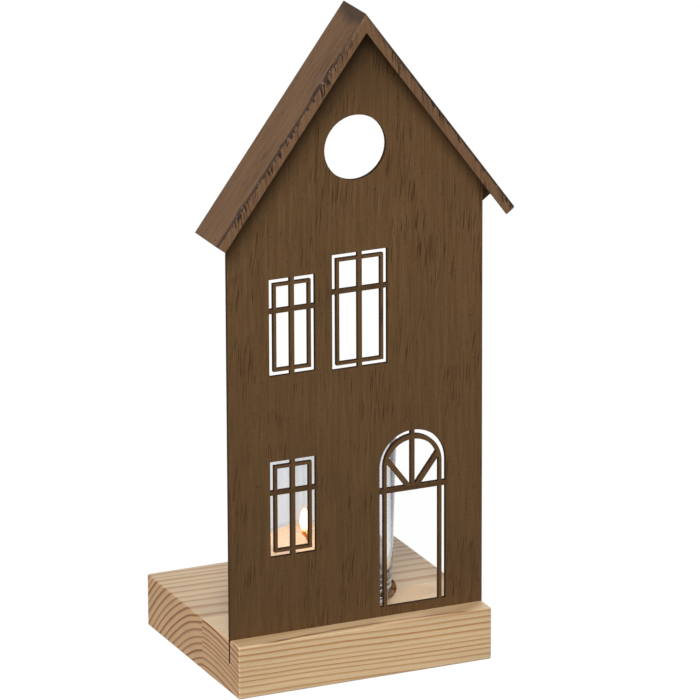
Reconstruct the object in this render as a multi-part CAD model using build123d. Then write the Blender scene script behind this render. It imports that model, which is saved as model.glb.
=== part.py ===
from build123d import *
import os
from math import cos, radians, sin, sqrt, tan

# Sizes in millimetres. +X runs along the facade, -Y is its front, +Z is up.
# The origin is the middle of the base's underside.

# Base of two edge-glued pine staves
base_width = 120.0
base_depth = 102.0
base_height = 24.0
base_edge_round = 0.8
front_stave_depth = 40.0

# Facade sheet and the slot that it stands in
facade_setback = 9.5
facade_side_inset = 0.25
facade_sheet = 2.0
shoulder_height = 193.7
slot_depth = 11.0
slot_clearance = 0.1

# Roof sheet, folded to a channel and folded again at the ridge
roof_pitch = 53.5
roof_sheet = 1.2
eave_overhang = 9.85
roof_depth = 24.5
roof_overhang = 12.0
front_flange = 5.0
rear_flange = 8.0
fold_inside_radius = 0.5
ridge_round = 0.6
mitre_gap = 1.0
mitre_length = 3.0

# Tack welds between the facade and the roof
tack_leg = 2.0
tack_length = 8.0
tack_bulge = 0.6
tack_places = (18.0, 78.0)

# Windows: slit outline, inner frame, upright bar and crossbar
slit_width = 2.0
window_frame = 1.35
window_bar = 1.95
left_window_x = -29.75
left_window_width = 21.5
left_window_height = 43.5
left_window_crossbar_drop = 14.3
lower_window_sill = 35.0
upper_window_sill = 117.0
tall_window_x = 1.9
tall_window_width = 26.0
tall_window_height = 51.9
tall_window_crossbar_drop = 16.8
tall_window_sill = 115.8
round_window_diameter = 28.8
round_window_height = 214.35

# Arched door with its fanlight
door_x = 26.7
door_width = 31.5
door_sill = 4.2
door_height = 79.5
door_stile = 1.4
door_crown = 2.2
door_crossbar = 2.3
door_crossbar_height = 53.2
fan_upright = 1.8
fan_bar = 2.2
fan_bar_angle = 53.0
fan_bar_spread = 1.35

# Round recess and the glass tumbler in it
recess_diameter = 71.6
recess_depth = 5.5
recess_front_share = 0.37
glass_height = 80.0
glass_foot_diameter = 66.9
glass_rim_diameter = 72.0
glass_wall = 2.2
glass_floor = 12.3
glass_heel_round = 8.5
glass_inside_round = 6.0
glass_rim_share = 0.45
glass_punt_diameter = 46.0
glass_punt_depth = 1.0

# Tealight
tealight_shift_x = -2.3
tealight_shift_y = 2.45
cup_diameter = 38.0
cup_height = 16.5
cup_wall = 0.4
cup_rim_radius = 0.5
wax_depth = 14.0
wax_gap = 0.1
wax_meniscus = 0.6
wick_diameter = 1.5
wick_gap = 0.1
wick_rise = 0.4
wick_bend_radius = 3.0
wick_lean = 40.0
wick_tip_length = 2.6
sustainer_diameter = 12.0
sustainer_sheet = 0.4
sustainer_neck_height = 5.0
sustainer_neck_wall = 0.3

# Places that follow from the sizes
base_front_y = -base_depth / 2
stave_joint_y = base_front_y + front_stave_depth
facade_width = base_width - 2 * facade_side_inset
facade_front_y = base_front_y + facade_setback
facade_back_y = facade_front_y + facade_sheet
roof_front_y = facade_front_y - roof_overhang
recess_spare = base_depth / 2 - facade_back_y - recess_diameter
recess_y = facade_back_y + recess_front_share * recess_spare + recess_diameter / 2
recess_floor_z = base_height - recess_depth
cup_floor_z = recess_floor_z + glass_floor
gable_height = shoulder_height + facade_width / 2 * tan(radians(roof_pitch))
ridge_z = base_height + gable_height + roof_sheet / cos(radians(roof_pitch))
rafter_length = (facade_width / 2 + eave_overhang) / cos(radians(roof_pitch))
facade_plane = Plane(origin=(0, facade_front_y, base_height), x_dir=(1, 0, 0), z_dir=(0, -1, 0))
glass_axis = Pos(0, recess_y, recess_floor_z)
tealight_axis = Pos(tealight_shift_x, recess_y + tealight_shift_y, cup_floor_z)


def solid_of(shape):
    """Return a shape as a bare solid or a compound of solids."""
    solids = shape.solids()
    return solids[0] if len(solids) == 1 else Compound(children=list(solids))


def rounded_at(sketch, point, radius):
    """Round the corner of a sketch that lies nearest to a point."""
    corner = sketch.vertices().sort_by_distance((*point, 0))[0]
    return fillet(corner, radius)


def turned(profile):
    """Revolve a half profile, drawn as radius against height, about the Z axis."""
    return revolve(Plane.XZ * profile, Axis.Z)


def base_block():
    """The glued block with its eased edges, the facade's slot and the glass's recess."""
    block = Pos(0, 0, base_height / 2) * Box(base_width, base_depth, base_height)
    block = fillet(block.edges(), base_edge_round)
    slot_width = facade_sheet + 2 * slot_clearance
    slot_y = facade_front_y + facade_sheet / 2
    slot = Pos(0, slot_y, base_height) * Box(2 * base_width, slot_width, 2 * slot_depth)
    recess = Pos(0, recess_y, base_height) * Cylinder(recess_diameter / 2, 2 * recess_depth)
    return block - slot - recess


def base_stave(front):
    """One of the two staves on either side of the glue joint."""
    joint = Plane(origin=(0, stave_joint_y, 0), z_dir=(0, -1 if front else 1, 0))
    return split(base_block(), bisect_by=joint, keep=Keep.TOP)


def window_cut(width, height, crossbar_drop):
    """A window's slit outline and four panes, about the middle of its sill."""
    inside = 2 * slit_width
    glazed = inside + 2 * window_frame
    middle = Pos(0, height / 2)
    cut = middle * Rectangle(width, height)
    cut -= middle * Rectangle(width - inside, height - inside)
    cut += middle * Rectangle(width - glazed, height - glazed)
    cut -= middle * Rectangle(window_bar, 2 * height)
    cut -= Pos(0, height - crossbar_drop) * Rectangle(2 * width, window_bar)
    return cut


def arch(width, height):
    """A doorway outline with a half-round head, about the middle of its foot."""
    spring = height - width / 2
    return Pos(0, spring / 2) * Rectangle(width, spring) + Pos(0, spring) * Circle(width / 2)


def door_cut():
    """The door's slit outline, its fanlight and the open doorway, about the middle of its foot."""
    slit_inside = door_width - 2 * slit_width
    doorway = slit_inside - 2 * door_stile
    slit_top = door_height - slit_width
    cut = arch(door_width, door_height) - arch(slit_inside, slit_top)
    cut += arch(doorway, slit_top - door_crown)
    cut -= Pos(0, door_crossbar_height) * Rectangle(2 * door_width, door_crossbar)
    cut -= Pos(0, door_crossbar_height + door_height) * Rectangle(fan_upright, 2 * door_height)
    ring_radius = (slit_inside - door_stile) / 2
    ring_rise = slit_top - slit_inside / 2 - door_crossbar_height
    lean = radians(fan_bar_angle)
    along_bar = ring_rise * sin(lean) - fan_bar_spread * cos(lean)
    off_bar = ring_rise * cos(lean) + fan_bar_spread * sin(lean)
    reach = along_bar + sqrt(ring_radius**2 - off_bar**2)
    bar = Rot(0, 0, fan_bar_angle) * Pos(reach / 2, 0) * Rectangle(reach, fan_bar)
    bar = Pos(fan_bar_spread, door_crossbar_height) * bar
    return cut - bar - mirror(bar, about=Plane.YZ)


def facade():
    """The gabled sheet with its windows and door cut through."""
    half = facade_width / 2
    outline = Polygon(
        (-half, -slot_depth),
        (half, -slot_depth),
        (half, shoulder_height),
        (0, gable_height),
        (-half, shoulder_height),
        align=None,
    )
    left_window = window_cut(left_window_width, left_window_height, left_window_crossbar_drop)
    for sill in (lower_window_sill, upper_window_sill):
        outline -= Pos(left_window_x, sill) * left_window
    tall_window = window_cut(tall_window_width, tall_window_height, tall_window_crossbar_drop)
    outline -= Pos(tall_window_x, tall_window_sill) * tall_window
    outline -= Pos(door_x, door_sill) * door_cut()
    outline -= Pos(0, round_window_height) * Circle(round_window_diameter / 2)
    return extrude(facade_plane * outline, amount=facade_sheet, dir=(0, 1, 0))


def channel_section():
    """The folded channel's section: depth against height above the sheet's outer face."""
    section = Polygon(
        (0, 0),
        (roof_depth, 0),
        (roof_depth, -rear_flange),
        (roof_depth - roof_sheet, -rear_flange),
        (roof_depth - roof_sheet, -roof_sheet),
        (roof_sheet, -roof_sheet),
        (roof_sheet, -front_flange),
        (0, -front_flange),
        align=None,
    )
    for edge, inward in ((0, 1), (roof_depth, -1)):
        section = rounded_at(section, (edge, 0), fold_inside_radius + roof_sheet)
        section = rounded_at(section, (edge + inward * roof_sheet, -roof_sheet), fold_inside_radius)
    return section


def rafter():
    """The right-hand slope of the roof, cut upright at the ridge."""
    pitch = radians(roof_pitch)
    downhill = (cos(pitch), 0, -sin(pitch))
    ridge_plane = Plane(origin=(0, roof_front_y, ridge_z), x_dir=(0, 1, 0), z_dir=downhill)
    past_ridge = 2 * max(front_flange, rear_flange) * tan(pitch)
    section = ridge_plane * channel_section()
    slope = extrude(section, amount=rafter_length, dir=downhill)
    slope += extrude(section, amount=-past_ridge, dir=downhill)
    return split(slope, bisect_by=Plane.YZ, keep=Keep.TOP)


def mitre_notch():
    """The narrow wedge left open at the foot of each flange's mitre."""
    notches = []
    for flange, edge, inward in ((front_flange, 0, 1), (rear_flange, roof_depth, -1)):
        foot_z = ridge_z - flange / cos(radians(roof_pitch))
        spread = mitre_gap / 2
        wedge = Polygon(
            (-2 * spread, foot_z - mitre_length),
            (2 * spread, foot_z - mitre_length),
            (0, foot_z + mitre_length),
            align=None,
        )
        reach = roof_sheet + fold_inside_radius
        face = Plane(origin=(0, roof_front_y + edge, 0), x_dir=(1, 0, 0), z_dir=(0, inward, 0))
        notches.append(extrude(face * wedge, amount=reach) + extrude(face * wedge, amount=-reach))
    return notches


def ridge_envelope():
    """The space under the roof's outer faces, with the fold at the ridge rounded."""
    foot_z = ridge_z - rafter_length * tan(radians(roof_pitch))
    outline = Polygon((-rafter_length, foot_z), (rafter_length, foot_z), (0, ridge_z), align=None)
    outline = rounded_at(outline, (0, ridge_z), ridge_round)
    return extrude(Plane.XZ * outline, amount=2 * base_depth, both=True)


def roof():
    """Both slopes as one folded sheet, with the ridge fold rounded and the mitres open at the foot."""
    right = rafter()
    folded = (right + mirror(right, about=Plane.YZ)) & ridge_envelope()
    for notch in mitre_notch():
        folded -= notch
    return folded


def roof_tacks():
    """Tack welds in the corner between the back of the facade and the underside of the roof."""
    pitch = radians(roof_pitch)
    downhill = (cos(pitch), 0, -sin(pitch))
    tacks = []
    for place in tack_places:
        start = (place * cos(pitch), facade_back_y, base_height + gable_height - place * sin(pitch))
        corner = Plane(origin=start, x_dir=(0, 1, 0), z_dir=downhill)
        bulge = tack_bulge * tack_leg
        edges = Polyline((0, -tack_leg), (0, 0), (tack_leg, 0))
        edges += ThreePointArc((tack_leg, 0), (bulge, -bulge), (0, -tack_leg))
        tack = extrude(corner * make_face(edges.edges()), amount=tack_length, dir=downhill)
        tacks += [tack, mirror(tack, about=Plane.YZ)]
    return Compound(children=[solid_of(tack) for tack in tacks])


def glass():
    """The flared tumbler with a thick bottom, a rounded heel and rim and a shallow punt underneath."""
    foot = glass_foot_diameter / 2
    rim = glass_rim_diameter / 2
    inside_floor = foot + (rim - foot) * glass_floor / glass_height - glass_wall
    profile = Polygon(
        (0, 0),
        (foot, 0),
        (rim, glass_height),
        (rim - glass_wall, glass_height),
        (inside_floor, glass_floor),
        (0, glass_floor),
        align=None,
    )
    profile = rounded_at(profile, (foot, 0), glass_heel_round)
    profile = rounded_at(profile, (inside_floor, glass_floor), glass_inside_round)
    for radius in (rim, rim - glass_wall):
        profile = rounded_at(profile, (radius, glass_height), glass_rim_share * glass_wall)
    punt = glass_punt_diameter / 2
    hollow = Line((-punt, 0), (punt, 0)) + ThreePointArc((punt, 0), (0, glass_punt_depth), (-punt, 0))
    return glass_axis * turned(profile - make_face(hollow.edges()))


def tealight_cup():
    """The thin pressed cup with its rolled rim."""
    outside = cup_diameter / 2
    wall = Pos(outside - cup_wall / 2, cup_height / 2) * Rectangle(cup_wall, cup_height)
    floor = Pos(outside / 2, cup_wall / 2) * Rectangle(outside, cup_wall)
    rolled_rim = Pos(outside, cup_height - cup_rim_radius) * Circle(cup_rim_radius)
    return tealight_axis * turned(wall + floor + rolled_rim)


def wax_top_z():
    """Height of the wax at the wick, above the outside of the cup's floor."""
    return cup_wall + wax_depth


def tealight_wax():
    """The wax with its raised edge, its wick hole and the pocket round the sustainer."""
    edge = cup_diameter / 2 - cup_wall - wax_gap
    top = wax_top_z()
    sides = Polyline((0, top), (0, cup_wall), (edge, cup_wall), (edge, top + wax_meniscus))
    pool = TangentArc((0, top), (edge, top + wax_meniscus), tangent=(1, 0))
    wax = turned(make_face((sides + pool).edges()))
    hole = wick_diameter / 2 + wick_gap
    neck = hole + sustainer_neck_wall + wick_gap
    low = (Align.CENTER, Align.CENTER, Align.MIN)
    floor = Pos(0, 0, cup_wall)
    wax -= floor * Cylinder(hole, 2 * wax_depth, align=low)
    wax -= floor * Cylinder(neck, sustainer_neck_height + wick_gap, align=low)
    wax -= floor * Cylinder(sustainer_diameter / 2 + wick_gap, sustainer_sheet + wick_gap, align=low)
    return tealight_axis * wax


def wick():
    """The wick: upright in the wax, bent over to the left above it."""
    bend_z = wax_top_z() + wick_rise
    lean = radians(wick_lean)
    bend_end = (-wick_bend_radius * (1 - cos(lean)), 0, bend_z + wick_bend_radius * sin(lean))
    tip = (bend_end[0] - wick_tip_length * sin(lean), 0, bend_end[2] + wick_tip_length * cos(lean))
    half = lean / 2
    bend_middle = (-wick_bend_radius * (1 - cos(half)), 0, bend_z + wick_bend_radius * sin(half))
    path = Line((0, 0, cup_wall), (0, 0, bend_z))
    path += ThreePointArc((0, 0, bend_z), bend_middle, bend_end)
    path += Line(bend_end, tip)
    return tealight_axis * sweep(Pos(0, 0, cup_wall) * Circle(wick_diameter / 2), path=path)


def wick_sustainer():
    """The tin disc on the cup's floor with a neck round the wick."""
    hole = wick_diameter / 2 + wick_gap
    neck = hole + sustainer_neck_wall
    disc_width = sustainer_diameter / 2 - hole
    disc = Pos(hole + disc_width / 2, sustainer_sheet / 2) * Rectangle(disc_width, sustainer_sheet)
    tube = Pos((hole + neck) / 2, sustainer_neck_height / 2) * Rectangle(neck - hole, sustainer_neck_height)
    return tealight_axis * Pos(0, 0, cup_wall) * turned(disc + tube)


nodes = {
    "base_front_stave": base_stave(front=True),
    "base_rear_stave": base_stave(front=False),
    "facade": facade(),
    "roof": roof(),
    "roof_tacks": roof_tacks(),
    "glass": glass(),
    "tealight_cup": tealight_cup(),
    "tealight_wax": tealight_wax(),
    "wick": wick(),
    "wick_sustainer": wick_sustainer(),
}

os.makedirs("parts", exist_ok=True)
for name, shape in nodes.items():
    export_step(solid_of(shape), f"parts/{name}.step")
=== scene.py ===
from math import cos, pi, radians, sin

import bmesh
import bpy
from bpy.props import FloatProperty, FloatVectorProperty, PointerProperty
from mathutils import Matrix, Vector


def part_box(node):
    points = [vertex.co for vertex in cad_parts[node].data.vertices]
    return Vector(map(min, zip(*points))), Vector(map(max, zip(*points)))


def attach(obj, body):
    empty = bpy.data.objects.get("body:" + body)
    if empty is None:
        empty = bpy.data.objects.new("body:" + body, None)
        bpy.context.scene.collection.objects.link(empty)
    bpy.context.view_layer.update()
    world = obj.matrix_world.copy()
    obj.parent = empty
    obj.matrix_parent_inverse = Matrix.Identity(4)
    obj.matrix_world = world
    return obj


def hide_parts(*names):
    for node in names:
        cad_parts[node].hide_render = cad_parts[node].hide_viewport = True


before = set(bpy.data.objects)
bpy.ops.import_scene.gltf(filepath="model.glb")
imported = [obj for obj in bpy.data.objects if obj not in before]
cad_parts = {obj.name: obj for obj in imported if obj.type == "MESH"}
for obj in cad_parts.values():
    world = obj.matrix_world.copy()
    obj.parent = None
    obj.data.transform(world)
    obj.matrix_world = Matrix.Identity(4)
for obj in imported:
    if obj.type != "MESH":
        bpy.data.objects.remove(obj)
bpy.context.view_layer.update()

bl_info = {
    "name": "Tealight House",
    "version": (1, 0, 0),
    "blender": (4, 5, 0),
    "location": "3D View > Sidebar > Tealight House",
    "description": "Finishes and turned pieces for a tealight holder with a painted house front",
    "category": "Object",
}

# Metres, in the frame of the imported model: +X along the facade, -Y in front of it, +Z up.
MM = 0.001

# Middle, half width and height of the crossbars of the three windows and the door, in millimetres.
CROSSBARS = ((-29.75, 10.75, 88.2), (-29.75, 10.75, 170.2), (1.9, 13.0, 174.9), (26.7, 15.75, 81.4))
ROOF_PITCH = radians(53.5)

# Middle of the tree, from the middle of the base's underside, that each stave was sawn from.
FRONT_PITH = (0, -21 * MM, -120 * MM)
REAR_PITH = (0, -34 * MM, -68 * MM)
# Middle, half length and sag of the streak of resin on the front ledge.
RESIN_STREAK = ((1 * MM, -48 * MM, 24 * MM), 45 * MM, 2.7 * MM)

# The wax: depth of its pool under the edge, and how deep the hollow for the sustainer's disc is.
POOL_DEPTH = 0.6 * MM
DISC_HOLLOW = 0.5 * MM
# The wick: its straight length, the bend above it and the burnt tip.
WICK_UPRIGHT = 14.4 * MM
WICK_BEND = 3.0 * MM
WICK_LEAN = radians(40)
WICK_TIP = 2.6 * MM
# Width of each shell of the flame's mantle, as a share of the core.
MANTLE_SHELLS = (1.15, 1.4, 1.7)

# Lamps are placed from the middle of the house.
HOUSE_MIDDLE = Vector((0, -0.02, 0.14))
KEY_OFFSET = Vector((-0.9, -1.6, 1.4))
SIDE_OFFSET = Vector((-2.0, -0.1, 0.3))
BACK_OFFSET = Vector((1.5, 1.2, 1.3))
FLOOR_HALF_WIDTH = 6.0
FLOOR_WHITE = 0.96

# The camera as fitted to the picture's straight edges.
SENSOR_WIDTH = 36.0
CAMERA_YAW = radians(24.075)
CAMERA_RISE = radians(18.382)
CAMERA_ROLL = radians(-0.214)
CAMERA_DISTANCE = 3.18861
CAMERA_AIM = Vector((0, 0, 0.15))
CAMERA_SHIFT_RIGHT = 0.0144
CAMERA_SHIFT_DOWN = 0.0141


def linear(hex_colour):
    """An sRGB hex colour as linear RGBA."""
    channels = [int(hex_colour[place:place + 2], 16) / 255 for place in (1, 3, 5)]
    curve = [c / 12.92 if c <= 0.04045 else ((c + 0.055) / 1.055) ** 2.4 for c in channels]
    return (*curve, 1.0)


def colour(name, description, hex_colour):
    """A colour that the user can change."""
    return FloatVectorProperty(
        name=name, description=description, subtype="COLOR", size=4, min=0, max=1,
        default=linear(hex_colour),
    )


def length(name, description, millimetres):
    """A length that the user can change."""
    return FloatProperty(
        name=name, description=description, unit="LENGTH", precision=5, default=millimetres * MM
    )


def lamp_power(name, description, watts):
    """The power of a lamp that the user can change."""
    return FloatProperty(name=name, description=description, unit="POWER", default=watts)


# Properties


class PineSettings(bpy.types.PropertyGroup):
    """Colours and growth rings of the two glued staves."""

    early: colour("Earlywood", "Pale wood between the rings, along the grain", "#e4c498")
    late: colour("Latewood", "Dark line of each ring, along the grain", "#b67a37")
    end_early: colour("End earlywood", "Pale wood on the sawn ends", "#cfa97f")
    end_late: colour("End latewood", "Dark line of each ring on the sawn ends", "#743208")
    resin: colour("Resin", "Dark streak of resin along the front ledge", "#8a4a1c")
    front_ring: length("Front ring width", "Spacing of the growth rings in the front stave", 2.474)
    rear_ring: length("Rear ring width", "Spacing of the growth rings in the rear stave", 3.15)
    taper: FloatProperty(name="Taper", description="Fall of the rings along the staves", default=0.02)


class PaintSettings(bpy.types.PropertyGroup):
    """Colours of the paint on the facade and the roof."""

    body: colour("Paint", "Brown top coat of the facade", "#6a4f32")
    shade: colour("Brush shade", "Darker paint between the facade's brush lines", "#584026")
    roof_body: colour("Roof paint", "Greyer top coat of the roof", "#75583e")
    roof_shade: colour("Roof shade", "Darker paint between the roof's brush lines", "#5c4431")
    rub: colour("Rubbed streaks", "Dark glaze left in the streaks", "#301a0c")
    edge: colour("Cut edges", "Thin dark paint on the laser-cut edges", "#432e1a")
    haze: colour("Haze", "Rubbed, darker paint in patches on the roof", "#4b3a31")
    patina: colour("Patina", "Dark steel where the paint is worn off the folds", "#221815")
    # Bare steel on the folds, with its highlight painted into the colour.
    glint: colour("Glint", "Bright specks of bare steel on the folds", "#ab9c8d")


class GlassSettings(bpy.types.PropertyGroup):
    """Shape and tint of the tumbler."""

    foot_diameter: length("Foot diameter", "Outside diameter at the foot, before its rounding", 66.9)
    rim_diameter: length("Rim diameter", "Outside diameter at the rim", 72.0)
    wall: length("Wall", "Thickness of the wall", 2.2)
    floor: length("Bottom", "Thickness of the bottom", 12.3)
    heel_round: length("Heel round", "Rounding outside the bottom", 8.5)
    inside_round: length("Inside round", "Rounding inside the bottom", 6.0)
    rim_round: length("Rim round", "Fire polish of the rim", 0.95)
    punt_diameter: length("Punt diameter", "Width of the hollow under the bottom", 46.0)
    punt_depth: length("Punt depth", "Depth of the hollow under the bottom", 1.0)
    body: colour("Glass", "Colour of the glass across its wall", "#eeeff1")
    tint: colour("Tint", "Colour of the glass in its thickness", "#b3b9c4")


class TealightSettings(bpy.types.PropertyGroup):
    """Shape and colours of the candle in its cup."""

    cup_wall: length("Cup wall", "Thickness of the clear cup", 0.4)
    cup_round: length("Cup round", "Rounding at the bottom of the cup", 1.4)
    rim_radius: length("Rim radius", "Radius of the cup's rolled rim", 0.5)
    wax_gap: length("Wax gap", "Space between the wax and the cup", 0.1)
    wick_diameter: length("Wick diameter", "Thickness of the cotton wick", 1.5)
    flame_width: length("Flame width", "Widest part of the flame's white core", 4.4)
    flame_height: length("Flame height", "Height of the flame above the tip of the wick", 10.8)
    flame_shift: length("Flame shift", "How far the flame stands right of the tip of the wick", 0.65)
    cup: colour("Cup", "Clear plastic of the cup", "#fbf8f4")
    tin: colour("Tin", "Tinned steel of the wick's foot", "#c4c4c2")
    wax: colour("Wax", "Colour of the wax", "#e8d9c4")
    # Painted light: the flame's light in the wax is painted as a glow of the wax's own.
    glow: colour("Glow", "Colour of the flame's light in the wax", "#ffc386")


class StageSettings(bpy.types.PropertyGroup):
    """Light, floor and camera."""

    floor: colour("Floor", "Colour of the floor", "#8c8c8c")
    fill: FloatProperty(name="Fill", description="Strength of the light from all round", default=0.07)
    key_power: lamp_power("Key", "Power of the soft lamp in front", 49.0)
    side_power: lamp_power("Side", "Power of the soft lamp on the left", 12.0)
    back_power: lamp_power("Back", "Power of the soft lamp behind", 18.0)
    lamp_size: length("Lamp size", "Width of each soft lamp", 1000.0)
    focal_length: FloatProperty(
        name="Focal length", description="Of the camera, on a 36 mm sensor",
        subtype="DISTANCE_CAMERA", default=378.44,
    )


class HouseSettings(bpy.types.PropertyGroup):
    """Everything that can be changed about the tealight house."""

    pine: PointerProperty(type=PineSettings)
    paint: PointerProperty(type=PaintSettings)
    glass: PointerProperty(type=GlassSettings)
    tealight: PointerProperty(type=TealightSettings)
    stage: PointerProperty(type=StageSettings)


# Materials


def add(tree, kind, *inputs, sockets=None, **settings):
    """Add a node with its settings, and set or link its inputs by place or by name."""
    made = tree.nodes.new(kind)
    for name, value in settings.items():
        setattr(made, name, value)
    for key, value in [*enumerate(inputs), *(sockets or {}).items()]:
        if isinstance(key, str):
            socket = next(s for s in made.inputs if s.name == key and s.enabled)
        else:
            socket = made.inputs[key]
        if isinstance(value, bpy.types.Node):
            value = next(s for s in value.outputs if s.enabled)
        if isinstance(value, bpy.types.NodeSocket):
            tree.links.new(value, socket)
        else:
            socket.default_value = value
    return made


def new_tree(name):
    """A new material with an empty node tree."""
    material = bpy.data.materials.new(name)
    material.use_nodes = True
    material.node_tree.nodes.clear()
    return material, material.node_tree


def periods(x, y, z):
    """Scale of a pattern whose features are that many millimetres long in each direction."""
    return (1 / (x * MM), 1 / (y * MM), 1 / (z * MM))


def pine_material(name, settings, pith, ring_width, ring_shift, top_figure, painted_top_shade, resin=None):
    """Softwood, planed along the grain and sawn at the ends.

    Each year's pale band darkens to a sharp line. The lines run along the planed faces, which have
    a low gloss, and arch over the matt sawn ends, which are darker. top_figure says how strongly the
    lines show on the upper face; the factor after it paints the upper face darker, as painted shade.
    """
    material, tree = new_tree(name)
    place = add(tree, "ShaderNodeTexCoord").outputs["Object"]
    sizes = {
        "wander": (75, 40, 40),
        "fibre": (16, 0.45, 0.45),
        "cloud": (60, 14, 14),
        "pore": (2.6, 0.5, 0.5),
    }
    noise = {}
    for mark, size in sizes.items():
        sized = add(tree, "ShaderNodeVectorMath", place, periods(*size), operation="MULTIPLY")
        noise[mark] = add(tree, "ShaderNodeTexNoise", sized, sockets={"Scale": 1.0, "Detail": 2.0})

    from_pith = add(tree, "ShaderNodeVectorMath", place, pith, operation="SUBTRACT")
    across = add(tree, "ShaderNodeVectorMath", from_pith, (0, 1, 1), operation="MULTIPLY")
    radius = add(tree, "ShaderNodeVectorMath", across, operation="LENGTH").outputs["Value"]
    along = add(tree, "ShaderNodeSeparateXYZ", place).outputs["X"]
    tapered = add(tree, "ShaderNodeMath", along, settings.taper, radius, operation="MULTIPLY_ADD")
    wavy = add(tree, "ShaderNodeMath", noise["wander"], 2.4 * MM, tapered, operation="MULTIPLY_ADD")
    climate = add(
        tree, "ShaderNodeTexNoise", noise_dimensions="1D", sockets={"W": wavy, "Scale": 1 / (9 * MM)}
    )
    uneven = add(tree, "ShaderNodeMath", climate, 2.6 * MM, wavy, operation="MULTIPLY_ADD")
    rings = add(tree, "ShaderNodeMath", uneven, 1 / ring_width, ring_shift, operation="MULTIPLY_ADD")
    year = add(tree, "ShaderNodeMath", rings, operation="FLOOR")
    season = add(tree, "ShaderNodeMath", rings, operation="FRACT")
    darkening = add(tree, "ShaderNodeMapRange", season, 0.44, 0.92, 0.0, 1.0, interpolation_type="SMOOTHSTEP")
    stop = add(tree, "ShaderNodeMapRange", season, 0.94, 1.0, 1.0, 0.0, interpolation_type="SMOOTHSTEP")
    luck = add(tree, "ShaderNodeTexWhiteNoise", sockets={"W": year}, noise_dimensions="1D")
    strength = add(tree, "ShaderNodeMapRange", luck, 0.0, 1.0, 0.6, 1.0)
    line = add(tree, "ShaderNodeMath", darkening, stop, operation="MULTIPLY")
    faces = add(tree, "ShaderNodeSeparateXYZ", add(tree, "ShaderNodeNewGeometry").outputs["Normal"])
    on_top = add(tree, "ShaderNodeMapRange", faces.outputs["Z"], 0.5, 0.8, 0.0, 1.0)
    shown = add(tree, "ShaderNodeMapRange", on_top, 0.0, 1.0, 1.0, top_figure)
    drawn = add(tree, "ShaderNodeMath", line, shown, operation="MULTIPLY")
    late = add(tree, "ShaderNodeMath", drawn, strength, operation="MULTIPLY")

    tone = add(tree, "ShaderNodeMapRange", noise["fibre"], 0.25, 0.75, 0.92, 1.06)
    shade = add(tree, "ShaderNodeMapRange", noise["cloud"], 0.3, 0.7, 0.94, 1.05)
    fleck = add(tree, "ShaderNodeMapRange", noise["pore"], 0.55, 0.75, 1.0, 0.86)
    toned = add(tree, "ShaderNodeMath", tone, shade, operation="MULTIPLY")
    grain = add(tree, "ShaderNodeMath", toned, fleck, operation="MULTIPLY")
    sideways = add(tree, "ShaderNodeMath", faces.outputs["X"], operation="ABSOLUTE")
    sawn = add(tree, "ShaderNodeMapRange", sideways, 0.55, 0.85, 0.0, 1.0)
    planed_wood = add(
        tree, "ShaderNodeMix", data_type="RGBA",
        sockets={"Factor": late, "A": settings.early, "B": settings.late},
    )
    sawn_wood = add(
        tree, "ShaderNodeMix", data_type="RGBA",
        sockets={"Factor": late, "A": settings.end_early, "B": settings.end_late},
    )
    wood = add(
        tree, "ShaderNodeMix", data_type="RGBA",
        sockets={"Factor": sawn, "A": planed_wood, "B": sawn_wood},
    )
    if resin:
        middle, half, sag = resin
        off = add(tree, "ShaderNodeVectorMath", place, middle, operation="SUBTRACT")
        offs = add(tree, "ShaderNodeSeparateXYZ", off)
        share = add(tree, "ShaderNodeMath", offs.outputs["X"], 1 / half, operation="MULTIPLY")
        bow = add(tree, "ShaderNodeMath", share, share, operation="MULTIPLY")
        bowed = add(tree, "ShaderNodeMath", bow, sag, offs.outputs["Y"], operation="MULTIPLY_ADD")
        wobble = add(tree, "ShaderNodeMath", noise["fibre"], 0.5, operation="SUBTRACT")
        ragged = add(tree, "ShaderNodeMath", wobble, 2.4 * MM, bowed, operation="MULTIPLY_ADD")
        away = add(tree, "ShaderNodeMath", ragged, operation="ABSOLUTE")
        seep = add(tree, "ShaderNodeMapRange", away, 0.1 * MM, 0.9 * MM, 0.85, 0.0)
        stain = add(tree, "ShaderNodeMath", seep, on_top, operation="MULTIPLY")
        wood = add(
            tree, "ShaderNodeMix", data_type="RGBA",
            sockets={"Factor": stain, "A": wood, "B": settings.resin},
        )
    # Painted shade: the upper face is painted darker by the given factor.
    painted_top_shade_factor = add(tree, "ShaderNodeMapRange", on_top, 0.0, 1.0, 1.0, painted_top_shade)
    grain_and_top_shade = add(tree, "ShaderNodeMath", grain, painted_top_shade_factor, operation="MULTIPLY")
    figured = add(tree, "ShaderNodeVectorMath", wood, grain_and_top_shade, operation="MULTIPLY")

    rough = add(tree, "ShaderNodeMapRange", sawn, 0.0, 1.0, 0.34, 0.8)
    relief = add(tree, "ShaderNodeMath", late, 0.5, noise["fibre"], operation="MULTIPLY_ADD")
    bump = add(tree, "ShaderNodeBump", sockets={"Strength": 0.25, "Distance": 0.15 * MM, "Height": relief})
    surface = add(
        tree, "ShaderNodeBsdfPrincipled",
        sockets={"Base Color": figured, "Roughness": rough, "IOR": 1.5, "Normal": bump},
    )
    add(tree, "ShaderNodeOutputMaterial", surface)
    return material


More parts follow.
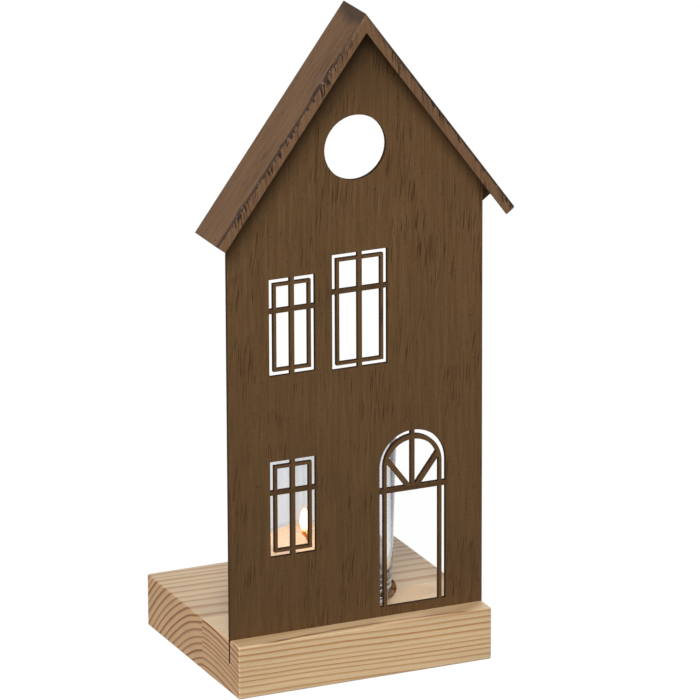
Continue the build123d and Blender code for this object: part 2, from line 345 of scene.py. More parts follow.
def brushed_coat(tree, place, body, shade, crowd, lift, settings):
    """Colour and relief of paint brushed upright, with dark glaze left in its deepest marks."""
    sway = add(tree, "ShaderNodeVectorMath", place, periods(7, 7, 26), operation="MULTIPLY")
    bend = add(tree, "ShaderNodeTexNoise", sway, sockets={"Scale": 1.0, "Detail": 1.0})
    pushed = add(tree, "ShaderNodeVectorMath", bend.outputs["Color"], (1.2 * MM, 0, 0), operation="MULTIPLY")
    bent = add(tree, "ShaderNodeVectorMath", place, pushed, operation="ADD")
    leaning = add(tree, "ShaderNodeMapping", bent, sockets={"Rotation": (0, radians(-3.5), 0)})
    sizes = {
        "hair": (bent, (0.45, 9, 12)),
        "brush": (bent, (1.6, 9, 34)),
        "streak": (leaning, (0.36, 8, 14)),
        "cluster": (place, (12, 30, 24)),
        "speck": (place, (1.2, 3, 1.6)),
        "grit": (place, (0.4, 0.4, 0.9)),
        "tone": (place, (26, 30, 60)),
    }
    noise = {}
    for mark, (direction, size) in sizes.items():
        sized = add(tree, "ShaderNodeVectorMath", direction, periods(*size), operation="MULTIPLY")
        noise[mark] = add(tree, "ShaderNodeTexNoise", sized, sockets={"Scale": 1.0, "Detail": 1.5})

    lines = add(tree, "ShaderNodeMath", noise["hair"], noise["brush"], operation="ADD")
    coat = add(tree, "ShaderNodeMapRange", lines, 0.62, 1.38, 0.0, 1.0)
    paint = add(tree, "ShaderNodeMix", data_type="RGBA", sockets={"Factor": coat, "A": body, "B": shade})
    tone = add(tree, "ShaderNodeMapRange", noise["tone"], 0.3, 0.7, 0.97, 1.03)
    grit = add(tree, "ShaderNodeMapRange", noise["grit"], 0.3, 0.7, 0.9, 1.1)
    grain = add(tree, "ShaderNodeMath", tone, grit, operation="MULTIPLY")
    # lift scales the paint; on the facade it carries painted light and shade.
    lifted = add(tree, "ShaderNodeMath", grain, lift, operation="MULTIPLY")
    toned = add(tree, "ShaderNodeVectorMath", paint, lifted, operation="MULTIPLY")
    crowding = add(tree, "ShaderNodeMapRange", noise["cluster"], 0.42, 0.62, -0.11, 0.055)
    crowded = add(tree, "ShaderNodeMath", crowding, crowd, operation="ADD")
    glaze = add(tree, "ShaderNodeMath", noise["streak"], crowded, operation="ADD")
    rubbed = add(tree, "ShaderNodeMapRange", glaze, 0.63, 0.665, 0.0, 0.72)
    specks = add(tree, "ShaderNodeMapRange", noise["speck"], 0.72, 0.75, 0.0, 0.7)
    dark = add(tree, "ShaderNodeMath", rubbed, specks, operation="MAXIMUM")
    glazed = add(
        tree, "ShaderNodeMix", data_type="RGBA",
        sockets={"Factor": dark, "A": toned, "B": settings.rub},
    )
    relief = add(tree, "ShaderNodeMath", dark, -1.0, noise["hair"], operation="MULTIPLY_ADD")
    return glazed, relief


def worn_folds(tree, place, brushed, flat, paint, settings, roof):
    """Paint worn off along the folds and the ridge, to dark steel with a few bright specks of bare steel,
    their highlight painted in.
    """
    axes = add(tree, "ShaderNodeSeparateXYZ", place)
    sizes = {
        "ragged": (brushed, (0.9, 3, 6)),
        "haze": (brushed, (1.3, 9, 24)),
        "stretch": (place, (19, 19, 19)),
        "speck": (place, (1.1, 1.1, 2.4)),
    }
    noise = {}
    for mark, (direction, size) in sizes.items():
        sized = add(tree, "ShaderNodeVectorMath", direction, periods(*size), operation="MULTIPLY")
        noise[mark] = add(tree, "ShaderNodeTexNoise", sized, sockets={"Scale": 1.0, "Detail": 3.0})

    fall, rise = cos(ROOF_PITCH), sin(ROOF_PITCH)
    out = add(tree, "ShaderNodeMath", axes.outputs["X"], operation="ABSOLUTE")
    drop = add(
        tree, "ShaderNodeMath", axes.outputs["Z"], -fall, roof["ridge"] * fall, operation="MULTIPLY_ADD"
    )
    depth = add(tree, "ShaderNodeMath", out, -rise, drop, operation="MULTIPLY_ADD")
    from_front = add(tree, "ShaderNodeMath", axes.outputs["Y"], roof["front"], operation="SUBTRACT")
    from_back = add(tree, "ShaderNodeMath", roof["back"], axes.outputs["Y"], operation="SUBTRACT")
    near = []
    for gap in (from_front, from_back):
        corner = add(tree, "ShaderNodeCombineXYZ", depth, gap)
        near.append(add(tree, "ShaderNodeVectorMath", corner, operation="LENGTH").outputs["Value"])
    from_fold = add(tree, "ShaderNodeMath", near[0], near[1], operation="MINIMUM")

    patch = add(tree, "ShaderNodeMapRange", noise["stretch"], 0.4, 0.6, 4 * MM, 26 * MM)
    on_face = add(tree, "ShaderNodeMapRange", flat, 0.0, 1.0, 0.25, 1.0)
    spread = add(tree, "ShaderNodeMath", patch, on_face, operation="MULTIPLY")
    spike = add(tree, "ShaderNodeMath", noise["ragged"], 0.5, operation="SUBTRACT")
    grown = add(tree, "ShaderNodeMath", spike, spread, operation="MULTIPLY", use_clamp=True)
    reach = add(tree, "ShaderNodeMath", grown, 0.85 * MM, operation="ADD")
    beyond = add(tree, "ShaderNodeMath", from_fold, reach, operation="SUBTRACT")
    worn_line = add(tree, "ShaderNodeMapRange", beyond, -0.35 * MM, 0.25 * MM, 0.92, 0.0)
    kept_top = add(tree, "ShaderNodeMapRange", out, 3 * MM, 14 * MM, 0.3, 1.0)
    bare_fold = add(tree, "ShaderNodeMath", worn_line, kept_top, operation="MULTIPLY")
    crest = add(tree, "ShaderNodeMath", noise["stretch"], -6 * MM, out, operation="MULTIPLY_ADD")
    on_crest = add(tree, "ShaderNodeMapRange", crest, -1.2 * MM, 1.2 * MM, 0.7, 0.0)
    bare_ridge = add(tree, "ShaderNodeMath", on_crest, flat, operation="SUBTRACT", use_clamp=True)
    bare = add(tree, "ShaderNodeMath", bare_fold, bare_ridge, operation="MAXIMUM")
    dusty = add(tree, "ShaderNodeMapRange", noise["haze"], 0.57, 0.72, 0.0, 0.45)
    on_slope = add(tree, "ShaderNodeMath", dusty, flat, operation="SUBTRACT", use_clamp=True)
    hazed = add(
        tree, "ShaderNodeMix", data_type="RGBA",
        sockets={"Factor": on_slope, "A": paint, "B": settings.haze},
    )
    worn = add(
        tree, "ShaderNodeMix", data_type="RGBA",
        sockets={"Factor": bare, "A": hazed, "B": settings.patina},
    )

    # Partly painted highlight: bright specks of bare steel at the fold's corner, drawn lighter as highlights.
    corner = add(tree, "ShaderNodeMapRange", from_fold, 0.7 * MM, 1.0 * MM, 1.0, 0.0)
    bright = add(tree, "ShaderNodeMapRange", noise["speck"], 0.67, 0.72, 0.0, 0.85)
    specks = add(tree, "ShaderNodeMath", corner, bright, operation="MULTIPLY")
    return add(
        tree, "ShaderNodeMix", data_type="RGBA",
        sockets={"Factor": specks, "A": worn, "B": settings.glint},
    )


def painted_sheet(name, settings, roof=None):
    """Steel sheet, brush-painted brown and rubbed with a dark glaze.

    Fine upright brush lines, scattered dark streaks a few millimetres long, and thin dark paint on
    the cut edges. On the facade, light and shade are painted in: lighter towards its right and its top,
    and darker under the peak as the roof's painted shadow. The paint is also darker across the
    crossbars. The roof is brushed along its slopes and worn along its folds. The brush lines are drawn
    a little coarser than a bristle, so that they show.
    """
    material, tree = new_tree(name)
    place = add(tree, "ShaderNodeTexCoord").outputs["Object"]
    normal = add(tree, "ShaderNodeSeparateXYZ", add(tree, "ShaderNodeNewGeometry").outputs["Normal"])
    facing = add(tree, "ShaderNodeMath", normal.outputs["Y"], operation="ABSOLUTE")
    flat = add(tree, "ShaderNodeMapRange", facing, 0.55, 0.8, 0.0, 1.0)
    if roof:
        axes = add(tree, "ShaderNodeSeparateXYZ", place)
        side = add(tree, "ShaderNodeMath", axes.outputs["X"], operation="SIGN")
        down = add(tree, "ShaderNodeMath", axes.outputs["Z"], 1 / sin(ROOF_PITCH), operation="MULTIPLY")
        across = add(tree, "ShaderNodeMath", axes.outputs["Y"], 0.6, operation="MULTIPLY")
        slope = add(tree, "ShaderNodeCombineXYZ", across, side, down)
        skew = add(
            tree, "ShaderNodeMath", axes.outputs["Z"], 0.15, axes.outputs["X"], operation="MULTIPLY_ADD"
        )
        flange = add(tree, "ShaderNodeCombineXYZ", skew, axes.outputs["Y"], axes.outputs["Z"])
        brushed = add(
            tree, "ShaderNodeMix", data_type="VECTOR", sockets={"Factor": flat, "A": slope, "B": flange}
        )
        lift = add(tree, "ShaderNodeMapRange", flat, 0.0, 1.0, 1.04, 1.3)
        crowd = add(tree, "ShaderNodeMapRange", flat, 0.0, 1.0, 0.0, 0.04)
        paint, relief = brushed_coat(
            tree, brushed, settings.roof_body, settings.roof_shade, crowd, lift, settings
        )
        finish = worn_folds(tree, place, brushed, flat, paint, settings, roof)
        matt = 0.6
    else:
        axes = add(tree, "ShaderNodeSeparateXYZ", place)
        height = axes.outputs["Z"]
        # Painted light and shade: the facade is painted lighter towards its right and towards its top, and
        # darker under the peak as the roof's painted shadow.
        side = add(tree, "ShaderNodeMapRange", axes.outputs["X"], -30 * MM, 60 * MM, 1.0, 1.07)
        crowd = add(tree, "ShaderNodeMapRange", height, 60 * MM, 250 * MM, -0.01, 0.01)
        rise = add(tree, "ShaderNodeMapRange", height, 40 * MM, 200 * MM, 0.94, 1.1)
        peak = add(tree, "ShaderNodeMapRange", height, 245 * MM, 290 * MM, 1.0, 0.5)
        upright = add(tree, "ShaderNodeMath", rise, peak, operation="MULTIPLY")
        lift = add(tree, "ShaderNodeMath", upright, side, operation="MULTIPLY")
        # The paint is darker across each crossbar.
        for middle, half, level in CROSSBARS:
            sideways = add(tree, "ShaderNodeMath", axes.outputs["X"], middle * MM, operation="SUBTRACT")
            out = add(tree, "ShaderNodeMath", sideways, operation="ABSOLUTE")
            above = add(tree, "ShaderNodeMath", height, level * MM, operation="SUBTRACT")
            off = add(tree, "ShaderNodeMath", above, operation="ABSOLUTE")
            across = add(tree, "ShaderNodeMapRange", out, half * MM, (half + 1.5) * MM, 1.0, 0.0)
            on_bar = add(tree, "ShaderNodeMapRange", off, 0.6 * MM, 1.3 * MM, 0.3, 0.0)
            held = add(tree, "ShaderNodeMath", across, on_bar, operation="MULTIPLY")
            kept = add(tree, "ShaderNodeMath", 1.0, held, operation="SUBTRACT")
            lift = add(tree, "ShaderNodeMath", lift, kept, operation="MULTIPLY")
        paint, relief = brushed_coat(tree, place, settings.body, settings.shade, crowd, lift, settings)
        upward = add(tree, "ShaderNodeMapRange", normal.outputs["Z"], 0.4, 0.8, 0.0, 0.7)
        edge = add(
            tree, "ShaderNodeMix", data_type="RGBA",
            sockets={"Factor": upward, "A": settings.edge, "B": settings.rub},
        )
        finish = add(tree, "ShaderNodeMix", data_type="RGBA", sockets={"Factor": flat, "A": edge, "B": paint})
        matt = add(tree, "ShaderNodeMapRange", flat, 0.0, 1.0, 1.0, 0.65)
    bump = add(tree, "ShaderNodeBump", sockets={"Strength": 0.3, "Distance": 0.1 * MM, "Height": relief})
    surface = add(
        tree, "ShaderNodeBsdfPrincipled",
        sockets={
            "Base Color": finish, "Roughness": matt, "IOR": 1.5, "Specular IOR Level": 0.15, "Normal": bump,
        },
    )
    add(tree, "ShaderNodeOutputMaterial", surface)
    return material


def clear_glass(name, settings):
    """Soda-lime glass, pressed and fire-polished: clear through the wall, blue-grey where it is thick."""
    material, tree = new_tree(name)
    surface = add(
        tree, "ShaderNodeBsdfPrincipled",
        sockets={"Base Color": settings.body, "Roughness": 0.0, "IOR": 1.5, "Transmission Weight": 1.0},
    )
    thickness = add(tree, "ShaderNodeVolumeAbsorption", sockets={"Color": settings.tint, "Density": 18.0})
    add(tree, "ShaderNodeOutputMaterial", surface, thickness)
    return material


def clear_cup(name, settings):
    """Clear plastic, thermoformed: thin, glossy and colourless, so the lit wax shows through it."""
    material, tree = new_tree(name)
    place = add(tree, "ShaderNodeTexCoord").outputs["Object"]
    ripples = add(tree, "ShaderNodeVectorMath", place, periods(6, 6, 3), operation="MULTIPLY")
    ripple = add(tree, "ShaderNodeTexNoise", ripples, sockets={"Scale": 1.0, "Detail": 1.0})
    rough = add(tree, "ShaderNodeMapRange", ripple, 0.3, 0.7, 0.12, 0.2)
    bump = add(tree, "ShaderNodeBump", sockets={"Strength": 0.2, "Distance": 0.1 * MM, "Height": ripple})
    surface = add(
        tree, "ShaderNodeBsdfPrincipled",
        sockets={"Base Color": settings.cup, "Roughness": rough, "IOR": 1.49, "Alpha": 0.16, "Normal": bump},
    )
    add(tree, "ShaderNodeOutputMaterial", surface)
    return material


def stamped_tin(name, settings):
    """Tinned steel, stamped: bright and a little uneven."""
    material, tree = new_tree(name)
    place = add(tree, "ShaderNodeTexCoord").outputs["Object"]
    dull = add(tree, "ShaderNodeVectorMath", place, periods(1.5, 1.5, 1.5), operation="MULTIPLY")
    cloud = add(tree, "ShaderNodeTexNoise", dull, sockets={"Scale": 1.0, "Detail": 2.0})
    rough = add(tree, "ShaderNodeMapRange", cloud, 0.3, 0.7, 0.22, 0.42)
    surface = add(
        tree, "ShaderNodeBsdfPrincipled",
        sockets={"Base Color": settings.tin, "Metallic": 1.0, "Roughness": rough},
    )
    add(tree, "ShaderNodeOutputMaterial", surface)
    return material


def paraffin(name, settings, flame):
    """Paraffin wax, poured and half molten: milky, glossy on the pool, with the flame's light inside it
    painted as its own glow.
    """
    material, tree = new_tree(name)
    place = add(tree, "ShaderNodeTexCoord").outputs["Object"]
    reach = add(tree, "ShaderNodeVectorMath", place, flame, operation="DISTANCE").outputs["Value"]
    # Painted light: the wax's glow stands for the flame's light, strongest near the flame.
    near = add(tree, "ShaderNodeMapRange", reach, 6 * MM, 38 * MM, 1.0, 0.6, interpolation_type="SMOOTHSTEP")
    mottle = add(tree, "ShaderNodeVectorMath", place, periods(5, 5, 5), operation="MULTIPLY")
    cloud = add(tree, "ShaderNodeTexNoise", mottle, sockets={"Scale": 1.0, "Detail": 2.0})
    lit = add(tree, "ShaderNodeMapRange", cloud, 0.3, 0.7, 0.97, 1.03)
    strength = add(tree, "ShaderNodeMath", near, lit, operation="MULTIPLY")
    rough = add(tree, "ShaderNodeMapRange", cloud, 0.3, 0.7, 0.22, 0.34)
    glow = add(
        tree, "ShaderNodeMix", data_type="RGBA",
        sockets={"Factor": strength, "A": linear("#000000"), "B": settings.glow},
    )
    surface = add(
        tree, "ShaderNodeBsdfPrincipled",
        sockets={
            "Base Color": settings.wax, "Roughness": rough, "IOR": 1.44, "Subsurface Weight": 0.5,
            "Subsurface Radius": (1.0, 0.7, 0.45), "Subsurface Scale": 4 * MM,
            "Emission Color": glow, "Emission Strength": 0.85,
        },
    )
    add(tree, "ShaderNodeOutputMaterial", surface)
    return material


def cotton_wick(name, wax_top, tip):
    """Braided cotton, waxed and burning: pale below, brown above the wax, an ember at the tip."""
    material, tree = new_tree(name)
    place = add(tree, "ShaderNodeTexCoord").outputs["Object"]
    axes = add(tree, "ShaderNodeSeparateXYZ", place)
    fine = add(tree, "ShaderNodeVectorMath", place, periods(0.4, 0.4, 0.25), operation="MULTIPLY")
    braid = add(tree, "ShaderNodeTexNoise", fine, sockets={"Scale": 1.0, "Detail": 2.0})
    jitter = add(tree, "ShaderNodeMath", braid, 1 * MM, axes.outputs["Z"], operation="MULTIPLY_ADD")
    burnt = add(tree, "ShaderNodeMapRange", jitter, wax_top + 0.2 * MM, wax_top + 1.5 * MM, 0.0, 1.0)
    thread = add(
        tree, "ShaderNodeMix", data_type="RGBA",
        sockets={"Factor": burnt, "A": linear("#e9dfc8"), "B": linear("#9a5a2c")},
    )
    reach = add(tree, "ShaderNodeVectorMath", place, tip, operation="DISTANCE")
    hot = add(tree, "ShaderNodeMapRange", reach, 0.6 * MM, 3.6 * MM, 0.8, 0.12)
    ember = add(
        tree, "ShaderNodeMix", data_type="RGBA",
        sockets={"Factor": hot, "A": linear("#000000"), "B": linear("#ff8a2c")},
    )
    bump = add(tree, "ShaderNodeBump", sockets={"Strength": 0.6, "Distance": 0.2 * MM, "Height": braid})
    surface = add(
        tree, "ShaderNodeBsdfPrincipled",
        sockets={
            "Base Color": thread, "Roughness": 0.85, "Normal": bump,
            "Emission Color": ember, "Emission Strength": 1.0,
        },
    )
    add(tree, "ShaderNodeOutputMaterial", surface)
    return material


def flame_core(name, bottom, height):
    """Candle flame: white-hot in the body, yellow towards its foot."""
    material, tree = new_tree(name)
    place = add(tree, "ShaderNodeTexCoord").outputs["Object"]
    axes = add(tree, "ShaderNodeSeparateXYZ", place)
    lift = add(tree, "ShaderNodeMapRange", axes.outputs["Z"], bottom, bottom + height, 0.0, 1.0)
    foot = add(tree, "ShaderNodeMapRange", lift, 0.0, 0.3, 0.0, 1.0, interpolation_type="SMOOTHSTEP")
    colour_up = add(
        tree, "ShaderNodeMix", data_type="RGBA",
        sockets={"Factor": foot, "A": linear("#ffb65a"), "B": linear("#fff3da")},
    )
    surface = add(
        tree, "ShaderNodeBsdfPrincipled",
        sockets={"Base Color": linear("#000000"), "Emission Color": colour_up, "Emission Strength": 3.0},
    )
    add(tree, "ShaderNodeOutputMaterial", surface)
    return material


def flame_mantle(name):
    """Outer skin of a candle flame: clear, with a thin orange light of its own."""
    material, tree = new_tree(name)
    surface = add(
        tree, "ShaderNodeBsdfPrincipled",
        sockets={
            "Base Color": linear("#000000"), "Alpha": 0.09, "Specular IOR Level": 0.0,
            "Emission Color": linear("#ffb478"), "Emission Strength": 1.4,
        },
    )
    add(tree, "ShaderNodeOutputMaterial", surface)
    return material


# Shapes


def finished(mesh, name, material, body, slot, *nodes):
    """Turn a bmesh into a smooth piece that rides on a body and stands for CAD nodes."""
    data = bpy.data.meshes.new(name)
    mesh.to_mesh(data)
    mesh.free()
    data.shade_smooth()
    piece = bpy.data.objects.new(name, data)
    bpy.context.scene.collection.objects.link(piece)
    data.materials.append(material)
    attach(piece, body)
    if nodes:
        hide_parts(*nodes)
    return piece


def turned(profile, rounds, axis, closed=False, steps=128):
    """Spin a profile of (radius, height) points about an upright axis, with some of its corners rounded."""
    mesh = bmesh.new()
    points = [mesh.verts.new((axis.x + radius, axis.y, axis.z + height)) for radius, height in profile]
    ends = points[1:] + points[:1] if closed else points[1:]
    for start, end in zip(points, ends):
        mesh.edges.new((start, end))
    for place, offset in rounds.items():
        bmesh.ops.bevel(
            mesh, geom=[points[place]], offset=offset, offset_type="OFFSET", segments=10,
            profile=0.5, affect="VERTICES", material=-1,
        )
    bmesh.ops.spin(
        mesh, geom=mesh.verts[:] + mesh.edges[:], cent=axis, axis=(0, 0, 1), angle=2 * pi,
        steps=steps, use_merge=True,
    )
    bmesh.ops.remove_doubles(mesh, verts=mesh.verts[:], dist=0.002 * MM)
    bmesh.ops.recalc_face_normals(mesh, faces=mesh.faces[:])
    return mesh


def standing_on(node):
    """Middle of the underside of a CAD node's box."""
    low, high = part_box(node)
    return Vector(((low.x + high.x) / 2, (low.y + high.y) / 2, low.z))


def finish_node(node, material):
    """Give a CAD node its material."""
    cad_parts[node].material_slots[0].material = material


# Operators


class HOUSE_OT_pine_base(bpy.types.Operator):
    """Give the two glued staves of the base their grain"""

    bl_idname = "house.pine_base"
    bl_label = "Pine base"

    def execute(self, context):
        settings = context.scene.tealight_house.pine
        # Painted shade: each stave's upper face is painted darker, the rear stave's much more.
        front = pine_material(
            "Pine, planed, front stave", settings, FRONT_PITH, settings.front_ring,
            ring_shift=0.4, top_figure=0.4, painted_top_shade=0.95, resin=RESIN_STREAK,
        )
        rear = pine_material(
            "Pine, planed, rear stave", settings, REAR_PITH, settings.rear_ring,
            ring_shift=0.0, top_figure=1.0, painted_top_shade=0.77,
        )
        finish_node("base_front_stave", front)
        finish_node("base_rear_stave", rear)
        return {"FINISHED"}


class HOUSE_OT_painted_sheet(bpy.types.Operator):
    """Paint the facade, the folded roof and the tacks between them"""

    bl_idname = "house.painted_sheet"
    bl_label = "Painted facade and roof"

    def execute(self, context):
        settings = context.scene.tealight_house.paint
        low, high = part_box("roof")
        roof = {"ridge": high.z, "front": low.y, "back": high.y}
        finish_node("facade", painted_sheet("Steel sheet, brush-painted", settings))
        roof_paint = painted_sheet("Steel sheet, brush-painted and worn", settings, roof)
        for node in ("roof", "roof_tacks"):
            finish_node(node, roof_paint)
        return {"FINISHED"}


class HOUSE_OT_glass(bpy.types.Operator):
    """Turn the tumbler that stands in the recess"""

    bl_idname = "house.glass"
    bl_label = "Glass tumbler"

    def execute(self, context):
        settings = context.scene.tealight_house.glass
        low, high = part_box("glass")
        height = high.z - low.z
        foot = settings.foot_diameter / 2
        rim = settings.rim_diameter / 2
        punt = settings.punt_diameter / 2
        inside = foot + (rim - foot) * settings.floor / height - settings.wall
        profile = [
            (0.0, settings.punt_depth),
            (punt / 3, settings.punt_depth * 8 / 9),
            (punt * 2 / 3, settings.punt_depth * 5 / 9),
            (punt, 0.0),
            (foot, 0.0),
            (rim, height),
            (rim - settings.wall, height),
            (inside, settings.floor),
            (0.0, settings.floor),
        ]
        rounds = {
            4: settings.heel_round,
            5: settings.rim_round,
            6: settings.rim_round,
            7: settings.inside_round,
        }
        mesh = turned(profile, rounds, standing_on("glass"))
        material = clear_glass("Soda-lime glass, pressed", settings)
        finished(mesh, "tumbler", material, "glass", "clear_glass", "glass")
        return {"FINISHED"}


class HOUSE_OT_tealight_cup(bpy.types.Operator):
    """Turn the clear cup with its rolled rim, and finish the tin foot of the wick"""

    bl_idname = "house.tealight_cup"
    bl_label = "Tealight cup"

    def execute(self, context):
        settings = context.scene.tealight_house.tealight
        low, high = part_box("tealight_cup")
        height = high.z - low.z
        bead = settings.rim_radius
        outside = (high.x - low.x) / 2 - bead
        inside = outside - settings.cup_wall
        profile = [
            (0.0, 0.0),
            (outside, 0.0),
            (outside, height - 2 * bead),
            (outside + bead, height - 2 * bead),
            (outside + bead, height),
            (inside, height),
            (inside, settings.cup_wall),
            (0.0, settings.cup_wall),
        ]
        rounds = {
            1: settings.cup_round,
            3: bead * 0.95,
            4: bead * 0.95,
            5: bead * 0.6,
            6: settings.cup_round * 0.7,
        }
        mesh = turned(profile, rounds, standing_on("tealight_cup"))
        material = clear_cup("Clear plastic, thermoformed", settings)
        finished(mesh, "candle_cup", material, "tealight", "clear_cup", "tealight_cup")
        finish_node("wick_sustainer", stamped_tin("Tinned steel, stamped", settings))
        return {"FINISHED"}


def flame_place():
    """Foot of the flame, at the tip of the wick."""
    low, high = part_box("wick")
    radius = (high.y - low.y) / 2
    return Vector((low.x + radius * 0.9, (low.y + high.y) / 2, high.z - radius * 0.5))


class HOUSE_OT_wax(bpy.types.Operator):
    """Turn the wax with its pool, its raised edge and the hollow round the sustainer"""

    bl_idname = "house.wax"
    bl_label = "Wax"

    def execute(self, context):
        settings = context.scene.tealight_house.tealight
        low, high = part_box("tealight_wax")
        tin_low, tin_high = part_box("wick_sustainer")
        edge = (high.x - low.x) / 2
        top = high.z - low.z
        pool = top - POOL_DEPTH
        hole = settings.wick_diameter / 2 + settings.wax_gap
        neck = hole + 0.4 * MM
        neck_top = tin_high.z - tin_low.z + settings.wax_gap
        disc = (tin_high.x - tin_low.x) / 2 + settings.wax_gap
        profile = [
            (disc, 0.0),
            (edge, 0.0),
            (edge, top),
            (edge - 0.5 * MM, top - 0.25 * MM),
            (edge - 1.6 * MM, pool + 0.08 * MM),
            (edge - 4.0 * MM, pool),
            (hole + 1.2 * MM, pool),
            (hole, pool + 0.3 * MM),
            (hole, neck_top),
            (neck, neck_top),
            (neck, DISC_HOLLOW),
            (disc, DISC_HOLLOW),
        ]
        rounds = {1: 0.8 * MM, 3: 0.3 * MM, 4: 0.5 * MM, 6: 0.4 * MM}
        mesh = turned(profile, rounds, standing_on("tealight_wax"), closed=True)
        material = paraffin("Paraffin wax, poured", settings, flame_place())
        finished(mesh, "candle_wax", material, "tealight", "candle_wax", "tealight_wax")
        return {"FINISHED"}


class HOUSE_OT_wick(bpy.types.Operator):
    """Sweep the wick, bent over above the wax"""

    bl_idname = "house.wick"
    bl_label = "Wick"

    def execute(self, context):
        settings = context.scene.tealight_house.tealight
        low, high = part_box("wick")
        radius = settings.wick_diameter / 2
        foot = Vector((high.x - radius, (low.y + high.y) / 2, low.z))
        mesh = bmesh.new()
        bmesh.ops.create_circle(
            mesh, cap_ends=True, segments=16, radius=radius, matrix=Matrix.Translation(foot)
        )
        cap = mesh.faces[:]
        made = bmesh.ops.extrude_face_region(mesh, geom=cap, use_keep_orig=True)
        ring = [g for g in made["geom"] if isinstance(g, bmesh.types.BMVert)]
        cap = [g for g in made["geom"] if isinstance(g, bmesh.types.BMFace)]
        bmesh.ops.translate(mesh, verts=ring, vec=(0, 0, WICK_UPRIGHT))
        centre = foot + Vector((-WICK_BEND, 0, WICK_UPRIGHT))
        made = bmesh.ops.spin(mesh, geom=cap, cent=centre, axis=(0, -1, 0), angle=WICK_LEAN, steps=8)
        cap = [g for g in made["geom_last"] if isinstance(g, bmesh.types.BMFace)]
        along = Vector((-sin(WICK_LEAN), 0, cos(WICK_LEAN)))
        for share, swell in ((0.45, 1.0), (0.3, 1.15), (0.2, 0.95), (0.05, 0.6)):
            made = bmesh.ops.extrude_face_region(mesh, geom=cap)
            ring = [g for g in made["geom"] if isinstance(g, bmesh.types.BMVert)]
            cap = [g for g in made["geom"] if isinstance(g, bmesh.types.BMFace)]
            bmesh.ops.translate(mesh, verts=ring, vec=along * WICK_TIP * share)
            middle = sum((v.co for v in ring), Vector()) / len(ring)
            bmesh.ops.scale(mesh, verts=ring, vec=(swell,) * 3, space=Matrix.Translation(-middle))
        bmesh.ops.remove_doubles(mesh, verts=mesh.verts[:], dist=0.001 * MM)
        bmesh.ops.recalc_face_normals(mesh, faces=mesh.faces[:])
        wax_low, wax_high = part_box("tealight_wax")
        material = cotton_wick("Cotton, braided and burnt", wax_high.z - POOL_DEPTH, flame_place())
        finished(mesh, "candle_wick", material, "tealight", "cotton_wick", "wick")
        return {"FINISHED"}


class HOUSE_OT_flame(bpy.types.Operator):
    """Turn the flame on the tip of the wick: a white core in an orange mantle"""

    bl_idname = "house.flame"
    bl_label = "Flame"

    def execute(self, context):
        settings = context.scene.tealight_house.tealight
        foot = flame_place() + Vector((settings.flame_shift, 0, 0))
        core = self.body(foot, settings, 1.0)
        glow = flame_core("Candle flame, core", foot.z, settings.flame_height)
        mantle = self.body(foot, settings, MANTLE_SHELLS[0])
        for swell in MANTLE_SHELLS[1:]:
            shell = self.body(foot, settings, swell)
            data = bpy.data.meshes.new("shell")
            shell.to_mesh(data)
            shell.free()
            mantle.from_mesh(data)
            bpy.data.meshes.remove(data)
        skin = flame_mantle("Candle flame, mantle")
        pieces = (
            finished(core, "flame", glow, "tealight", "candle_wax"),
            finished(mantle, "flame_mantle", skin, "tealight", "candle_wax"),
        )
        for piece in pieces:
            smooth = piece.modifiers.new("Smooth", "SUBSURF")
            smooth.levels = smooth.render_levels = 2
        return {"FINISHED"}

    def body(self, foot, settings, swell):
        """A drop of the flame's height, swollen sideways and a little upwards."""
        half = settings.flame_width / 2 * swell
        height = settings.flame_height * (0.8 + 0.2 * swell)
        outline = (
            (0.0, 0.0), (0.4, 0.03), (0.72, 0.12), (0.95, 0.27), (1.0, 0.42),
            (0.95, 0.58), (0.8, 0.74), (0.55, 0.88), (0.26, 0.97), (0.0, 1.0),
        )
        profile = [(half * wide, height * high) for wide, high in outline]
        return turned(profile, {}, foot, steps=24)


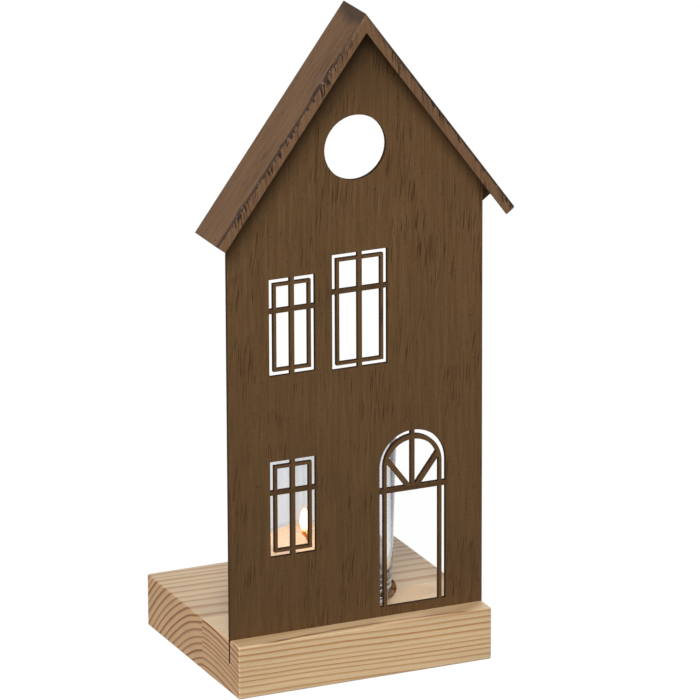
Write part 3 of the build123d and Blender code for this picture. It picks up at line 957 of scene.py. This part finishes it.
class HOUSE_OT_stage(bpy.types.Operator):
    """Set up the floor, the light and the camera"""

    bl_idname = "house.stage"
    bl_label = "Stage"

    def execute(self, context):
        settings = context.scene.tealight_house.stage
        self.floor(settings)
        self.light(context, settings)
        self.camera(context, settings)
        context.scene.view_settings.view_transform = "Standard"
        return {"FINISHED"}

    def seen(self, tree):
        """1 for rays that show the background: from the camera, in a reflection or through glass."""
        path = add(tree, "ShaderNodeLightPath")
        camera, glossy = path.outputs["Is Camera Ray"], path.outputs["Is Glossy Ray"]
        mirrored = add(tree, "ShaderNodeMath", camera, glossy, operation="MAXIMUM")
        through = path.outputs["Is Transmission Ray"]
        return add(tree, "ShaderNodeMath", mirrored, through, operation="MAXIMUM")

    def floor(self, settings):
        """A plain floor that shows white and keeps the shadow of the house."""
        mesh = bmesh.new()
        bmesh.ops.create_grid(mesh, x_segments=1, y_segments=1, size=FLOOR_HALF_WIDTH)
        data = bpy.data.meshes.new("floor")
        mesh.to_mesh(data)
        mesh.free()
        floor = bpy.data.objects.new("floor", data)
        bpy.context.scene.collection.objects.link(floor)
        material, tree = new_tree("Studio floor")
        matte = add(tree, "ShaderNodeBsdfDiffuse", settings.floor)
        shadow = add(tree, "ShaderNodeBsdfDiffuse", linear("#4d4d4d"))
        white = add(tree, "ShaderNodeEmission", linear("#ffffff"), FLOOR_WHITE)
        shown = add(tree, "ShaderNodeAddShader", white, shadow)
        surface = add(tree, "ShaderNodeMixShader", self.seen(tree), matte, shown)
        add(tree, "ShaderNodeOutputMaterial", surface)
        data.materials.append(material)

    def light(self, context, settings):
        """A faint light from all round, a white background and three soft lamps."""
        world = bpy.data.worlds.new("Studio")
        world.use_nodes = True
        tree = world.node_tree
        tree.nodes.clear()
        fill = add(tree, "ShaderNodeBackground", linear("#ffffff"), settings.fill)
        white = add(tree, "ShaderNodeBackground", linear("#ffffff"), 1.0)
        surface = add(tree, "ShaderNodeMixShader", self.seen(tree), fill, white)
        add(tree, "ShaderNodeOutputWorld", surface)
        context.scene.world = world
        self.lamp(context, settings, "key", settings.key_power, KEY_OFFSET)
        self.lamp(context, settings, "side", settings.side_power, SIDE_OFFSET)
        self.lamp(context, settings, "back", settings.back_power, BACK_OFFSET)

    def lamp(self, context, settings, name, power, offset):
        """A soft round lamp that faces the middle of the house."""
        light = bpy.data.lights.new(name, "AREA")
        light.shape = "DISK"
        light.size = settings.lamp_size
        light.energy = power
        lamp = bpy.data.objects.new(name, light)
        lamp.location = HOUSE_MIDDLE + offset
        lamp.rotation_euler = (-offset).to_track_quat("-Z", "Y").to_euler()
        context.scene.collection.objects.link(lamp)

    def camera(self, context, settings):
        """A long lens in front of the house, a little to its left and above it."""
        front = cos(CAMERA_RISE)
        back = Vector((-sin(CAMERA_YAW) * front, -cos(CAMERA_YAW) * front, sin(CAMERA_RISE)))
        level = Vector((cos(CAMERA_YAW), -sin(CAMERA_YAW), 0))
        upward = back.cross(level)
        right = cos(CAMERA_ROLL) * level + sin(CAMERA_ROLL) * upward
        up = cos(CAMERA_ROLL) * upward - sin(CAMERA_ROLL) * level
        data = bpy.data.cameras.new("camera")
        data.lens = settings.focal_length
        data.sensor_width = SENSOR_WIDTH
        camera = bpy.data.objects.new("camera", data)
        aside = right * CAMERA_SHIFT_RIGHT - up * CAMERA_SHIFT_DOWN
        place = CAMERA_AIM + aside + back * CAMERA_DISTANCE
        turn = Matrix((right, up, back)).transposed().to_4x4()
        camera.matrix_world = Matrix.Translation(place) @ turn
        context.scene.collection.objects.link(camera)
        context.scene.camera = camera


class HOUSE_PT_sidebar(bpy.types.Panel):
    """The pieces of the tealight house, in the order in which they are made"""

    bl_idname = "HOUSE_PT_sidebar"
    bl_label = "Tealight House"
    bl_space_type = "VIEW_3D"
    bl_region_type = "UI"
    bl_category = "Tealight House"

    def draw(self, context):
        for operator in OPERATORS:
            self.layout.operator(operator.bl_idname)


SETTINGS = (PineSettings, PaintSettings, GlassSettings, TealightSettings, StageSettings, HouseSettings)
OPERATORS = (
    HOUSE_OT_pine_base,
    HOUSE_OT_painted_sheet,
    HOUSE_OT_glass,
    HOUSE_OT_tealight_cup,
    HOUSE_OT_wax,
    HOUSE_OT_wick,
    HOUSE_OT_flame,
    HOUSE_OT_stage,
)
CLASSES = (*SETTINGS, *OPERATORS, HOUSE_PT_sidebar)


def register():
    for kind in CLASSES:
        bpy.utils.register_class(kind)
    bpy.types.Scene.tealight_house = PointerProperty(type=HouseSettings)


def unregister():
    del bpy.types.Scene.tealight_house
    for kind in reversed(CLASSES):
        bpy.utils.unregister_class(kind)


def main():
    register()
    for operator in OPERATORS:
        group, name = operator.bl_idname.split(".")
        getattr(getattr(bpy.ops, group), name)()


if __name__ == "__main__":
    main()
